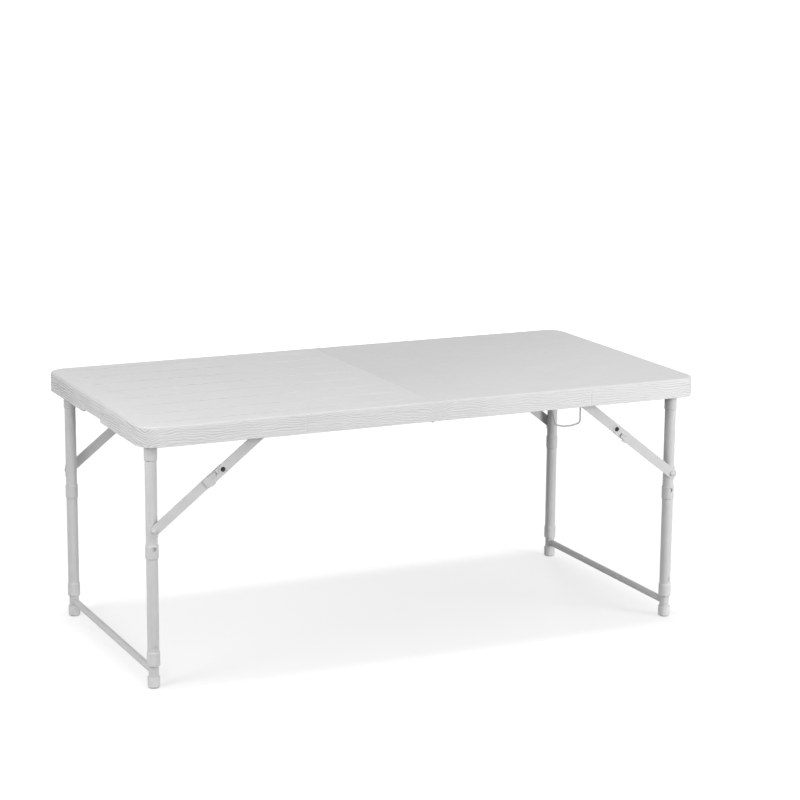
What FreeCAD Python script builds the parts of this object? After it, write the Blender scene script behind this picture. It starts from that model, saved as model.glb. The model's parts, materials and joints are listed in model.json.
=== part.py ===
import FreeCAD, Part
import math
import os

# A folding garden table: a moulded top in two halves, hinged in the middle over steel rails,
# with a folding leg frame at each end and a foot frame that slides out of it.
# Millimetres, +Z up, +X along the length, +Y to the back. The origin is on the floor, under the middle.

# Overall size at the lowest of the three heights
table_length = 1220.0
table_depth = 610.0
table_height = 527.0

# Moulded top
skirt_height = 40.0
skirt_wall = 6.0
panel_thickness = 11.0
plan_corner_radius = 40.0
top_edge_radius = 3.5
seam_gap = 0.5
seam_chamfer = 0.8
plank_width = 75.6
plank_end_margin = 28.0
plank_groove_width = 2.0
plank_groove_depth = 0.9
skirt_joint_x = (-274.0, 354.0)
skirt_groove_width = 1.8
skirt_groove_depth = 0.9
pad_drop = 9.0
pad_leg_margin = 29.0
pad_stretcher_margin = 17.0
pad_corner_radius = 20.0
dimple_rows = 3
dimple_columns = 4
dimple_radius = 14.0
dimple_tip_radius = 8.0
dimple_depth = 12.0
grip_width = 114.0
grip_height = 22.0
grip_depth = 4.0
grip_trim = 3.5

# Rails under the long edges
rail_width = 18.0
rail_wall = 1.6
rail_height = 27.0
rail_to_skirt = 3.0
rail_seam_margin = 8.0
rail_end_margin = 12.0
rail_end_chamfer = 15.0
screw_x = (110.0, 210.0, 450.0)
screw_shank_radius = 2.0
screw_length = 8.0
screw_point = 1.6
screw_head_radius = 4.0
screw_head_flat_radius = 2.4
screw_head_height = 2.4
screw_head_rim = 1.0

# Middle hinge
hinge_pin_radius = 2.0
hinge_knuckle_radius = 4.5
hinge_plate = 2.2
hinge_plate_toe = 4.4
hinge_nose = 2.25
hinge_base_length = 50.0
hinge_notch_margin = 1.0

# Leg frames
leg_end_margin = 35.0
leg_to_rail = 24.0
leg_pivot_drop = 14.0
tube_radius = 11.5
tube_wall = 1.2
cross_tube_radius = 7.0
cross_tube_wall = 1.4
bush_wall = 1.5
bush_flange = 1.6
bush_flange_rim = 2.0
bush_length = 3.0
collar_bottom = 44.5
collar_straight = 25.5
collar_taper = 3.0
collar_lip = 5.0
collar_edge = 1.0
collar_rim = 0.6
sleeve_radius = 12.9
sleeve_length = 28.0
sleeve_taper = 1.5
sleeve_rim = 0.5
sleeve_below_hole = 20.5
sleeve_below_pivot = 50.0

# Foot frames, which telescope into the legs
inner_tube_radius = 10.0
inner_tube_wall = 1.0
inner_tube_bottom = 3.0
inner_tube_above_button = 7.0
stretcher_radius = 7.0
stretcher_wall = 1.2
stretcher_height = 33.0
foot_radius = 12.3
foot_height = 22.0
foot_edge_radius = 4.0

# Snap buttons and the three holes that they click into
button_below_pivot = 16.0
height_step = 207.0
low_hole_above_collar = 10.0
hole_radius = 4.2
button_radius = 3.9
button_stand = 1.6
button_dome = 3.0
button_root = 8.0
button_flange_radius = 5.5
button_flange = 1.0

# Folding braces, one outside each leg
brace_leg_drop = 186.0
brace_reach = 238.0
link_width = 20.0
link_thickness = 2.0
link_gap = 0.3
link_from_sleeve = 0.5
tail_length = 46.0
tail_corner_radius = 3.0
stop_tab_start = 27.0
stop_tab_length = 10.0
stop_tab_thickness = 1.8
lock_window_start = 14.0
lock_window_length = 15.0
lock_window_width = 8.0
lock_window_offset = 4.6
lock_tongue_gap = 3.0
lock_tongue_rise = 1.6
lock_tongue_thickness = 1.4
lock_tongue_inset = 0.5
knuckle_boss_radius = 9.2
knuckle_boss_height = 0.7
knuckle_shank_radius = 3.0
knuckle_head_radius = 4.7
knuckle_head_height = 2.4
knuckle_tail_radius = 4.5
knuckle_tail_height = 1.2
lug_wall = 1.6
lug_height = 26.0
lug_half_angle = 55.0
lug_boss_radius = 7.5
lug_shank_radius = 3.5
lug_head_radius = 5.4
lug_head_height = 3.2
table_pin_radius = 3.0
table_pin_shoulder_radius = 5.5
table_pin_head_radius = 6.0
table_pin_head = 1.5
dome_rim_share = 0.35
dome_angles = (0, 30, 60)

# Wire bails that hold the folded legs
bail_x = 305.0
bail_half_width = 34.0
bail_foot_inset = 11.0
bail_drop = 40.0
bail_bow = 4.5
bail_wire_radius = 1.75
bail_bend_radius = 7.0
bail_clip_length = 24.0
bail_clip_rim = 2.25

# Clearances
running_clearance = 0.1
seat_clearance = 0.02
telescope_clearance = 0.15
cutter_overshoot = 1.0

# Levels and planes that follow from the sizes above
half_length = table_length / 2
half_depth = table_depth / 2
skirt_bottom = table_height - skirt_height
panel_bottom = table_height - panel_thickness
pad_bottom = panel_bottom - pad_drop
seam_x = seam_gap / 2
rail_outer = half_depth - skirt_wall - rail_to_skirt
rail_inner = rail_outer - rail_width
rail_middle = (rail_outer + rail_inner) / 2
rail_bottom = panel_bottom - rail_height
rail_web_bottom = panel_bottom - rail_wall
leg_x = half_length - leg_end_margin
leg_y = rail_inner - leg_to_rail
leg_pivot_z = panel_bottom - leg_pivot_drop
folded_stretcher_x = leg_x - (leg_pivot_z - stretcher_height)
button_height = leg_pivot_z - button_below_pivot
collar_top = collar_bottom + collar_straight + collar_taper
hole_heights = (collar_top + low_hole_above_collar, button_height - height_step, button_height)
tube_bore = tube_radius - tube_wall
sleeve_face = leg_y + sleeve_radius
lower_link_inner = sleeve_face + link_from_sleeve
lower_link_outer = lower_link_inner + link_thickness
upper_link_inner = lower_link_outer + link_gap
upper_link_outer = upper_link_inner + link_thickness
bail_pivot_z = skirt_bottom + bail_wire_radius + bail_clip_rim

# The braces lie in a line when the legs stand, and fold flat on each other when the legs fold
brace_leg_point = FreeCAD.Vector(leg_x, 0, leg_pivot_z - brace_leg_drop)
brace_table_point = FreeCAD.Vector(leg_x - brace_reach, 0, leg_pivot_z)
brace_length = math.hypot(brace_reach, brace_leg_drop)
lower_link_length = (brace_length + brace_reach - brace_leg_drop) / 2
upper_link_length = brace_length - lower_link_length
brace_rise = math.degrees(math.atan2(brace_leg_drop, brace_reach))

sides = {"left": -1, "right": 1}
edges = {"front": -1, "back": 1}
ORIGIN = FreeCAD.Vector(0, 0, 0)
X_AXIS = FreeCAD.Vector(1, 0, 0)
Y_AXIS = FreeCAD.Vector(0, 1, 0)
Z_AXIS = FreeCAD.Vector(0, 0, 1)
parallel_angle = 1.0


def point(x, y, z):
    return FreeCAD.Vector(x, y, z)


def edges_along(solid, axis):
    """The edges of a solid that lie along an axis."""
    slack = math.radians(parallel_angle)
    return [e for e in solid.Edges if e.tangentAt(e.FirstParameter).isParallel(axis, slack)]


def box(low, high):
    """A box between two corners, given in any order."""
    first = point(*[min(a, b) for a, b in zip(low, high)])
    size = [abs(a - b) for a, b in zip(low, high)]
    return Part.makeBox(*size, first)


def rod(radius, start, end):
    """A round bar between two points."""
    along = end - start
    return Part.makeCylinder(radius, along.Length, start, along)


def tube(outer, inner, start, end):
    return rod(outer, start, end).cut(rod(inner, start, end))


def turned(profile, place):
    """A solid turned about Z from (radius, height) points, at a place."""
    corners = [point(radius, 0, height) for radius, height in profile]
    face = Part.Face(Part.makePolygon(corners + corners[:1]))
    solid = face.revolve(ORIGIN, Z_AXIS, 360)
    solid.translate(place)
    return solid


def turned_outward(profile, x, z, edge):
    """A solid turned about Y from (radius, distance from the middle) points, towards one long edge."""
    solid = turned(profile, ORIGIN)
    solid.rotate(ORIGIN, X_AXIS, -90 * edge)
    solid.translate(point(x, 0, z))
    return solid


def domed(radius, base, height):
    """The outline of a domed head: an upright rim, then a crown in three chords."""
    rim = dome_rim_share * height
    crown = height - rim
    steps = [math.radians(angle) for angle in dome_angles]
    chords = [(radius * math.cos(a), base + rim + crown * math.sin(a)) for a in steps]
    return [(radius, base)] + chords + [(0, base + height)]


def joined(solids):
    return solids[0].multiFuse(solids[1:]).removeSplitter() if len(solids) > 1 else solids[0]


def export(node, solids):
    shape = Part.makeCompound(solids) if isinstance(solids, list) else solids
    shape.exportStep(f"parts/{node}.step")


def half_outline(side, inset, height):
    """The plan of one half of the top, drawn in by an inset, with its two outer corners rounded."""
    inner = seam_x + inset
    outer = half_length - inset
    reach = half_depth - inset
    radius = plan_corner_radius - inset
    bend = radius * (1 - math.sqrt(0.5))
    at = lambda x, y: point(side * x, y, height)
    pieces = [
        Part.LineSegment(at(inner, -reach), at(outer - radius, -reach)),
        Part.Arc(at(outer - radius, -reach), at(outer - bend, bend - reach), at(outer, radius - reach)),
        Part.LineSegment(at(outer, radius - reach), at(outer, reach - radius)),
        Part.Arc(at(outer, reach - radius), at(outer - bend, reach - bend), at(outer - radius, reach)),
        Part.LineSegment(at(outer - radius, reach), at(inner, reach)),
        Part.LineSegment(at(inner, reach), at(inner, -reach)),
    ]
    return Part.Face(Part.Wire([piece.toShape() for piece in pieces]))


def underside_pad(side):
    """The deeper middle of the moulded underside, with its grid of pinched dimples."""
    near = folded_stretcher_x + stretcher_radius + pad_stretcher_margin
    far = leg_x - pad_leg_margin
    reach = leg_y - pad_leg_margin
    pad = box((side * near, -reach, pad_bottom), (side * far, reach, panel_bottom))
    pad = pad.makeFillet(pad_corner_radius, edges_along(pad, Z_AXIS))
    dimples = []
    for column in range(dimple_columns):
        x = near + (far - near) * (column + 0.5) / dimple_columns
        for row in range(dimple_rows):
            y = reach * (2 * (row + 0.5) / dimple_rows - 1)
            place = point(side * x, y, pad_bottom)
            dimples.append(Part.makeCone(dimple_radius, dimple_tip_radius, dimple_depth, place, Z_AXIS))
    return pad, dimples


def screw_places(side, edge):
    return [point(side * x, edge * rail_middle, rail_web_bottom) for x in screw_x]


def top_edges(solid):
    return [e for e in solid.Edges if e.BoundBox.ZMin > table_height - seat_clearance]


def at_seam(line):
    return abs(line.BoundBox.Center.x) < seam_gap


def grip_cuts(side):
    """The hand grip: a scoop in the end skirt, deepest at the lower edge, which is trimmed back there."""
    bend = (grip_height ** 2 + grip_depth ** 2) / (2 * grip_depth)
    centre = side * (half_length + bend - grip_depth)
    reach = grip_width / 2
    scoop = rod(bend, point(centre, -reach, skirt_bottom), point(centre, reach, skirt_bottom))
    trim = box((side * (half_length + cutter_overshoot), -reach, skirt_bottom - cutter_overshoot),
               (side * (half_length - skirt_wall - cutter_overshoot), reach, skirt_bottom + grip_trim))
    return [scoop, trim]


def hinge_notch(side, edge):
    """The gap in the seam wall that the middle hinge passes through."""
    low = (side * (seam_x - cutter_overshoot), edge * (rail_inner - hinge_notch_margin),
           skirt_bottom - cutter_overshoot)
    high = (side * (seam_x + skirt_wall + cutter_overshoot), edge * (rail_outer + hinge_notch_margin),
            panel_bottom)
    return box(low, high)


def skirt_joint(x, edge):
    """The line between two planks on a long skirt."""
    reach = skirt_groove_width / 2
    low = (x - reach, edge * (half_depth - skirt_groove_depth), skirt_bottom - cutter_overshoot)
    high = (x + reach, edge * (half_depth + cutter_overshoot), table_height - top_edge_radius)
    return box(low, high)


def plank_groove(side, y):
    low = (side * plank_end_margin, y - plank_groove_width / 2, table_height - plank_groove_depth)
    high = (side * (half_length - plank_end_margin), y + plank_groove_width / 2,
            table_height + cutter_overshoot)
    return box(low, high)


def tabletop(name, side):
    body = half_outline(side, 0, skirt_bottom).extrude(point(0, 0, skirt_height))
    body = body.makeFillet(top_edge_radius, [e for e in top_edges(body) if not at_seam(e)])
    body = body.makeChamfer(seam_chamfer, [e for e in top_edges(body) if at_seam(e)])

    pad, dimples = underside_pad(side)
    tray = half_outline(side, skirt_wall, skirt_bottom).extrude(point(0, 0, panel_bottom - skirt_bottom))
    cuts = [tray.cut(pad)] + dimples + grip_cuts(side)
    for edge in edges.values():
        cuts.append(hinge_notch(side, edge))
        for place in screw_places(side, edge):
            cuts.append(rod(screw_shank_radius, place, place + point(0, 0, screw_length + screw_point)))
        cuts += [skirt_joint(-edge * x, edge) for x in skirt_joint_x if -edge * x * side > 0]
    if name == "left":
        flat_reach = half_depth - top_edge_radius - plank_groove_width
        y = plank_width / 2
        while y < flat_reach:
            cuts += [plank_groove(side, y), plank_groove(side, -y)]
            y += plank_width
    export(f"{name}_tabletop", body.cut(Part.makeCompound(cuts)))


def rail(name, side, edge):
    """A channel with its open side down, cut off at a slant near the rounded corner of the top."""
    near = side * rail_seam_margin
    far = side * (half_length - rail_end_margin)
    past = side * cutter_overshoot
    low = rail_bottom - cutter_overshoot
    outer = box((near, edge * rail_inner, rail_bottom), (far, edge * rail_outer, panel_bottom))
    inside = box((near - past, edge * (rail_inner + rail_wall), low),
                 (far + past, edge * (rail_outer - rail_wall), rail_web_bottom))
    corner = [point(far, edge * (rail_outer - rail_end_chamfer), low),
              point(far, edge * rail_outer, low),
              point(far - side * rail_end_chamfer, edge * rail_outer, low)]
    slant = Part.Face(Part.makePolygon(corner + corner[:1]))
    cuts = [inside, slant.extrude(point(0, 0, rail_height + 2 * cutter_overshoot))]
    bush_seat = cross_tube_radius + bush_wall + running_clearance / 2 + seat_clearance
    pin_seat = table_pin_radius + seat_clearance
    wall_in = edge * (rail_inner - cutter_overshoot)
    wall_out = edge * (rail_inner + rail_wall + cutter_overshoot)
    for x, seat in ((side * leg_x, bush_seat), (side * brace_table_point.x, pin_seat)):
        cuts.append(rod(seat, point(x, wall_in, leg_pivot_z), point(x, wall_out, leg_pivot_z)))
    reach = point(0, 0, rail_wall + cutter_overshoot)
    for place in screw_places(side, edge):
        cuts.append(rod(screw_shank_radius, place - point(0, 0, cutter_overshoot), place + reach))
    export(f"{name}_rail", outer.cut(Part.makeCompound(cuts)))


def rail_screws(name, side):
    shank = screw_shank_radius - seat_clearance
    profile = [(0, -screw_head_height), (screw_head_flat_radius, -screw_head_height),
               (screw_head_radius, -screw_head_rim), (screw_head_radius, 0), (shank, 0),
               (shank, screw_length), (0, screw_length + screw_point)]
    screws = []
    for edge in edges.values():
        screws += [turned(profile, place) for place in screw_places(side, edge)]
    export(f"{name}_rail_screws", screws)


def hinge_plate_solid(side, low, high, pin_hole):
    """One upright hinge plate between two distances from the middle, reaching down to the pin."""
    foot = side * (rail_seam_margin + hinge_base_length)
    top = rail_web_bottom
    corners = [point(foot, 0, top), point(foot, 0, top - hinge_plate_toe),
               point(side * hinge_knuckle_radius, 0, skirt_bottom),
               point(-side * hinge_nose, 0, skirt_bottom + hinge_nose),
               point(side * rail_seam_margin, 0, top)]
    plate = Part.Face(Part.makePolygon(corners + corners[:1])).extrude(point(0, high - low, 0))
    plate.translate(point(0, low, 0))
    knuckle = rod(hinge_knuckle_radius, point(0, low, skirt_bottom), point(0, high, skirt_bottom))
    hole = rod(pin_hole, point(0, low - cutter_overshoot, skirt_bottom),
               point(0, high + cutter_overshoot, skirt_bottom))
    return plate.fuse(knuckle).cut(hole)


def hinge_bracket(side, plates, pin_hole):
    """Upright plates on a base that lies against the underside of the rail's web."""
    outer = max(high for low, high in plates)
    inner = min(low for low, high in plates)
    solids = [hinge_plate_solid(side, low, high, pin_hole) for low, high in plates]
    base_low = (side * rail_seam_margin, inner, rail_web_bottom - hinge_plate)
    base_high = (side * (rail_seam_margin + hinge_base_length), outer, rail_web_bottom)
    return joined(solids + [box(base_low, base_high)])


def middle_hinges():
    pins = []
    fork_low = rail_inner + rail_wall + running_clearance
    fork_high = rail_outer - rail_wall - running_clearance
    tight = hinge_pin_radius + seat_clearance
    loose = hinge_pin_radius + running_clearance
    for name, edge in edges.items():
        spans = [(fork_low, fork_low + hinge_plate), (fork_high - hinge_plate, fork_high)]
        fork = [tuple(sorted((edge * a, edge * b))) for a, b in spans]
        ear = tuple(sorted((edge * (rail_middle - hinge_plate), edge * (rail_middle + hinge_plate))))
        export(f"{name}_hinge_fork", hinge_bracket(sides["left"], fork, tight))
        export(f"{name}_hinge_ear", hinge_bracket(sides["right"], [ear], loose))
        pins.append(rod(hinge_pin_radius, point(0, edge * fork_low, skirt_bottom),
                        point(0, edge * fork_high, skirt_bottom)))
    export("hinge_pins", pins)


def pivot_bushes(name, side):
    bore = cross_tube_radius + running_clearance / 2
    seat = bore + bush_wall
    profile = [(bore, rail_inner - bush_flange), (seat + bush_flange_rim, rail_inner - bush_flange),
               (seat + bush_flange_rim, rail_inner), (seat, rail_inner),
               (seat, rail_inner + bush_length), (bore, rail_inner + bush_length)]
    bushes = [turned_outward(profile, side * leg_x, leg_pivot_z, edge) for edge in edges.values()]
    export(f"{name}_pivot_bushes", bushes)


def brace_pins(name, side):
    """Rivets in the rails, on which the upper brace links turn."""
    shoulder = upper_link_outer + link_gap
    head = rail_inner + rail_wall
    profile = [(0, upper_link_inner), (table_pin_radius, upper_link_inner), (table_pin_radius, shoulder),
               (table_pin_shoulder_radius, shoulder), (table_pin_shoulder_radius, rail_inner),
               (table_pin_radius, rail_inner), (table_pin_radius, head),
               (table_pin_head_radius, head), (table_pin_head_radius, head + table_pin_head),
               (0, head + table_pin_head)]
    x = side * brace_table_point.x
    pins = [turned_outward(profile, x, leg_pivot_z, edge) for edge in edges.values()]
    export(f"{name}_brace_pins", pins)


def rounded_loop(corners, radius):
    """A closed wire of straight runs with an arc at each corner, and the first two points of a run."""
    ends = []
    for before, corner, after in zip(corners[-1:] + corners[:-1], corners, corners[1:] + corners[:1]):
        back = (before - corner).normalize()
        ahead = (after - corner).normalize()
        half_turn = back.getAngle(ahead) / 2
        reach = radius / math.tan(half_turn)
        inward = (back + ahead).normalize()
        middle = corner + inward * (radius / math.sin(half_turn) - radius)
        ends.append((corner + back * reach, middle, corner + ahead * reach))
    pieces = []
    for (start, middle, end), following in zip(ends, ends[1:] + ends[:1]):
        pieces.append(Part.Arc(start, middle, end).toShape())
        pieces.append(Part.LineSegment(end, following[0]).toShape())
    return Part.Wire(pieces), ends[0][2], ends[1][0]


def bail(name, side, edge):
    """A wire loop hung in a clip inside the rail, with one arm that slants and a bowed bottom."""
    y = edge * rail_middle
    low = bail_pivot_z - bail_drop
    near = side * (bail_x - bail_half_width)
    near_foot = near + side * bail_foot_inset
    far = side * (bail_x + bail_half_width)
    third = (far - near_foot) / 3
    bottom = low - bail_bow
    corners = [point(near, y, bail_pivot_z), point(near_foot, y, low), point(near_foot + third, y, bottom),
               point(far - third, y, bottom), point(far, y, low), point(far, y, bail_pivot_z)]
    path, start, ahead = rounded_loop(corners, bail_bend_radius)
    section = Part.Wire(Part.makeCircle(bail_wire_radius, start, ahead - start))
    export(f"{name}_bail", path.makePipeShell([section], True, False))

    rim = bail_wire_radius + bail_clip_rim
    start = point(side * bail_x - bail_clip_length / 2, y, bail_pivot_z)
    end = start + point(bail_clip_length, 0, 0)
    past = point(cutter_overshoot, 0, 0)
    block = box((start.x, y - rim, bail_pivot_z), (end.x, y + rim, rail_web_bottom))
    hole = rod(bail_wire_radius + running_clearance, start - past, end + past)
    export(f"{name}_bail_clip", block.fuse(rod(rim, start, end)).cut(hole))


def button_hole(side, edge, radius, height):
    """A round cutter through the outer wall of a leg, at a height."""
    start = point(side * leg_x, edge * leg_y, height)
    return rod(radius, start, start + point(0, edge * 2 * tube_radius, 0))


def leg_tube(name, side, edge):
    bottom = point(side * leg_x, edge * leg_y, collar_bottom + collar_lip)
    top = point(side * leg_x, edge * leg_y, leg_pivot_z)
    aside = point(0, 2 * tube_radius, 0)
    cuts = [rod(cross_tube_radius + seat_clearance, top - aside, top + aside)]
    cuts += [button_hole(side, edge, hole_radius, height) for height in hole_heights]
    export(f"{name}_leg_tube", tube(tube_radius, tube_bore, bottom, top).cut(Part.makeCompound(cuts)))


def cross_tube(name, side):
    reach = rail_inner + bush_length
    start = point(side * leg_x, -reach, leg_pivot_z)
    end = point(side * leg_x, reach, leg_pivot_z)
    export(f"{name}_cross_tube", tube(cross_tube_radius, cross_tube_radius - cross_tube_wall, start, end))


def tube_sleeves(name, side):
    """Swaged sleeves round the legs, the middle ones drilled for the buttons."""
    bore = tube_radius + seat_clearance
    lip = bore + sleeve_rim
    profile = [(bore, 0), (lip, 0), (sleeve_radius, sleeve_taper),
               (sleeve_radius, sleeve_length - sleeve_taper), (lip, sleeve_length), (bore, sleeve_length)]
    drilled = hole_heights[1]
    sleeves = []
    for edge in edges.values():
        middle = turned(profile, point(side * leg_x, edge * leg_y, drilled - sleeve_below_hole))
        sleeves.append(middle.cut(button_hole(side, edge, hole_radius, drilled)))
        sleeves.append(turned(profile, point(side * leg_x, edge * leg_y, leg_pivot_z - sleeve_below_pivot)))
    export(f"{name}_tube_sleeves", sleeves)


def collars(name, side):
    """Plastic collars that guide the inner tubes at the bottom of the legs."""
    seat = tube_radius + seat_clearance
    slide = inner_tube_radius + telescope_clearance
    shoulder = collar_straight + collar_taper
    profile = [(slide, 0), (sleeve_radius - collar_edge, 0), (sleeve_radius, collar_edge),
               (sleeve_radius, collar_straight), (seat + collar_rim, shoulder), (seat, shoulder),
               (seat, collar_lip), (slide, collar_lip)]
    places = [point(side * leg_x, edge * leg_y, collar_bottom) for edge in edges.values()]
    export(f"{name}_collars", [turned(profile, place) for place in places])


def brace_lugs(name, side):
    """Saddles on the outer side of the legs, each with the stud that its brace turns on."""
    z = brace_leg_point.z
    lugs = []
    for edge in edges.values():
        axis = point(side * leg_x, edge * leg_y, z - lug_height / 2)
        top = axis + point(0, 0, lug_height)
        saddle = tube(tube_radius + lug_wall, tube_radius + seat_clearance, axis, top)
        cheek = (tube_radius + lug_wall) * math.sin(math.radians(lug_half_angle))
        bite = (tube_radius + lug_wall) * math.cos(math.radians(lug_half_angle))
        keep = box((side * leg_x - cheek, edge * (leg_y + bite), axis.z),
                   (side * leg_x + cheek, edge * (leg_y + 2 * tube_radius), top.z))
        boss_face = lower_link_inner - link_gap
        head_face = lower_link_outer + link_gap
        boss_root = leg_y + tube_radius
        profile = [(0, boss_root), (lug_boss_radius, boss_root), (lug_boss_radius, boss_face),
                   (lug_shank_radius, boss_face), (lug_shank_radius, head_face)]
        profile += domed(lug_head_radius, head_face, lug_head_height)
        stud = turned_outward(profile, side * leg_x, z, edge)
        bore = rod(tube_radius + seat_clearance, axis, top)
        lugs.append(saddle.common(keep).fuse(stud.cut(bore)).removeSplitter())
    export(f"{name}_brace_lugs", lugs)


def along_brace(solid, side, edge, start):
    """Stand a link, drawn along X in its own plane, at a point of the brace, mirrored for the left side."""
    solid = solid.copy()
    solid.rotate(ORIGIN, Y_AXIS, brace_rise)
    solid.translate(start)
    if edge < 0:
        solid = solid.mirror(ORIGIN, Y_AXIS)
    if side < 0:
        solid = solid.mirror(ORIGIN, X_AXIS)
    return solid


def strip(start, end, low, high):
    """A flat bar along X with round ends at start and end, between two distances from the middle."""
    half = link_width / 2
    bar = box((start, low, -half), (end, high, half))
    near = rod(half, point(start, low, 0), point(start, high, 0))
    far = rod(half, point(end, low, 0), point(end, high, 0))
    return joined([bar, near, far])


def lower_link(name, side, edge):
    """The link on the leg. It runs from the stud, at its origin, up to the knuckle."""
    knuckle = -lower_link_length
    bar = strip(knuckle, 0, lower_link_inner, lower_link_outer)
    stud_hole = rod(lug_shank_radius + running_clearance, point(0, lower_link_inner - cutter_overshoot, 0),
                    point(0, lower_link_outer + cutter_overshoot, 0))
    rivet_tail = rod(knuckle_tail_radius, point(knuckle, lower_link_inner - knuckle_tail_height, 0),
                     point(knuckle, lower_link_inner, 0))
    link = bar.cut(stud_hole).fuse(rivet_tail)
    export(f"{name}_lower_link", along_brace(link, side, edge, brace_leg_point))


def lock_window(start, middle, low, high):
    """A cutter for the window in an upper link's tail, and the tongue that is raised out of it."""
    reach = lock_window_width / 2
    end = start + lock_window_length
    window = box((start, low, middle - reach), (end, high, middle + reach))
    tip = start + lock_tongue_gap
    root = end + cutter_overshoot
    face = upper_link_outer
    raised = face + lock_tongue_rise
    width = 2 * (reach - lock_tongue_inset)
    corners = [point(tip, raised - lock_tongue_thickness, 0), point(tip, raised, 0),
               point(root, face, 0), point(root, face - lock_tongue_thickness, 0)]
    tongue = Part.Face(Part.makePolygon(corners + corners[:1])).extrude(point(0, 0, width))
    tongue.translate(point(0, 0, middle - width / 2))
    return window, tongue


def upper_link(name, side, edge):
    """The link on the rail. Its tail reaches past the knuckle, with a stop tab under the lower link.

    All four links are one pressing, so the window is above the middle on two of them and below it on two.
    """
    half = link_width / 2
    inner, outer = upper_link_inner, upper_link_outer
    knuckle = upper_link_length
    end = knuckle + tail_length
    bar = strip(0, knuckle, inner, outer)
    tail = box((knuckle, inner, -half), (end, outer, half))
    corners = [e for e in edges_along(tail, Y_AXIS) if e.BoundBox.Center.x > knuckle + tail_length / 2]
    tail = tail.makeFillet(tail_corner_radius, corners)
    tab_low = half + link_gap + stop_tab_thickness
    tab_start = knuckle + stop_tab_start
    tab_end = tab_start + stop_tab_length
    tab = box((tab_start, lower_link_inner, -half - link_gap), (tab_end, outer, -tab_low))
    bridge = box((tab_start, inner, -half), (tab_end, outer, -half - link_gap))
    boss_face = outer + knuckle_boss_height
    boss = rod(knuckle_boss_radius, point(knuckle, outer, 0), point(knuckle, boss_face, 0))
    low = inner - cutter_overshoot
    high = boss_face + cutter_overshoot
    window, tongue = lock_window(knuckle + lock_window_start, side * edge * lock_window_offset, low, high)
    pin_hole = rod(table_pin_radius + running_clearance, point(0, low, 0), point(0, high, 0))
    shank = knuckle_shank_radius + seat_clearance
    shank_hole = rod(shank, point(knuckle, low, 0), point(knuckle, high, 0))
    link = joined([bar, tail, bridge, tab, boss]).cut(Part.makeCompound([window, pin_hole, shank_hole]))
    link = link.fuse(tongue)
    export(f"{name}_upper_link", along_brace(link, side, edge, brace_table_point))

    profile = [(0, inner), (knuckle_shank_radius, inner), (knuckle_shank_radius, boss_face)]
    profile += domed(knuckle_head_radius, boss_face, knuckle_head_height)
    rivet = turned_outward(profile, knuckle, 0, edges["back"])
    export(f"{name}_knuckle_rivet", along_brace(rivet, side, edge, brace_table_point))


def inner_tube(name, side, edge):
    bottom = point(side * leg_x, edge * leg_y, inner_tube_bottom)
    top = point(side * leg_x, edge * leg_y, button_height + inner_tube_above_button)
    pipe = tube(inner_tube_radius, inner_tube_radius - inner_tube_wall, bottom, top)
    export(f"{name}_inner_tube", pipe.cut(button_hole(side, edge, hole_radius, button_height)))


def stretcher(name, side):
    start = point(side * leg_x, -leg_y, stretcher_height)
    end = point(side * leg_x, leg_y, stretcher_height)
    pipe = tube(stretcher_radius, stretcher_radius - stretcher_wall, start, end)
    copes = []
    for edge in edges.values():
        base = point(side * leg_x, edge * leg_y, 0)
        top = base + point(0, 0, 2 * stretcher_height)
        copes.append(rod(inner_tube_radius + seat_clearance, base, top))
    export(f"{name}_stretcher", pipe.cut(Part.makeCompound(copes)))


def foot_caps(name, side):
    caps = []
    for edge in edges.values():
        base = point(side * leg_x, edge * leg_y, 0)
        cap = rod(foot_radius, base, base + point(0, 0, foot_height))
        bottom_edge = [e for e in cap.Edges if e.BoundBox.ZMax < foot_edge_radius]
        cap = cap.makeFillet(foot_edge_radius, bottom_edge)
        socket = rod(inner_tube_radius + seat_clearance, base + point(0, 0, inner_tube_bottom),
                     base + point(0, 0, foot_height + cutter_overshoot))
        caps.append(cap.cut(socket))
    export(f"{name}_foot_caps", caps)


def snap_button(name, side, edge):
    """A domed button with a flange that stays inside the inner tube."""
    root = leg_y + tube_radius - button_root
    tip = leg_y + tube_radius
    profile = [(0, root), (button_flange_radius, root), (button_flange_radius, root + button_flange),
               (button_radius, root + button_flange)]
    profile += domed(button_radius, tip + button_stand - button_dome, button_dome)
    export(f"{name}_snap_button", turned_outward(profile, side * leg_x, button_height, edge))


os.makedirs("parts", exist_ok=True)
middle_hinges()
for side_name, side_sign in sides.items():
    tabletop(side_name, side_sign)
    rail_screws(side_name, side_sign)
    pivot_bushes(side_name, side_sign)
    brace_pins(side_name, side_sign)
    cross_tube(side_name, side_sign)
    tube_sleeves(side_name, side_sign)
    collars(side_name, side_sign)
    brace_lugs(side_name, side_sign)
    stretcher(side_name, side_sign)
    foot_caps(side_name, side_sign)
    for edge_name, edge_sign in edges.items():
        corner_name = f"{side_name}_{edge_name}"
        rail(corner_name, side_sign, edge_sign)
        leg_tube(corner_name, side_sign, edge_sign)
        inner_tube(corner_name, side_sign, edge_sign)
        lower_link(corner_name, side_sign, edge_sign)
        upper_link(corner_name, side_sign, edge_sign)
        snap_button(corner_name, side_sign, edge_sign)
bail("right", sides["right"], edges["front"])
bail("left", sides["left"], edges["back"])
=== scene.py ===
"""Looks of a folding garden table: moulded halves with an embossed wood grain, on powder-coated legs."""

import json
import math
from collections import namedtuple

import bmesh
import bpy
from mathutils import Matrix, Vector, noise


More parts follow.
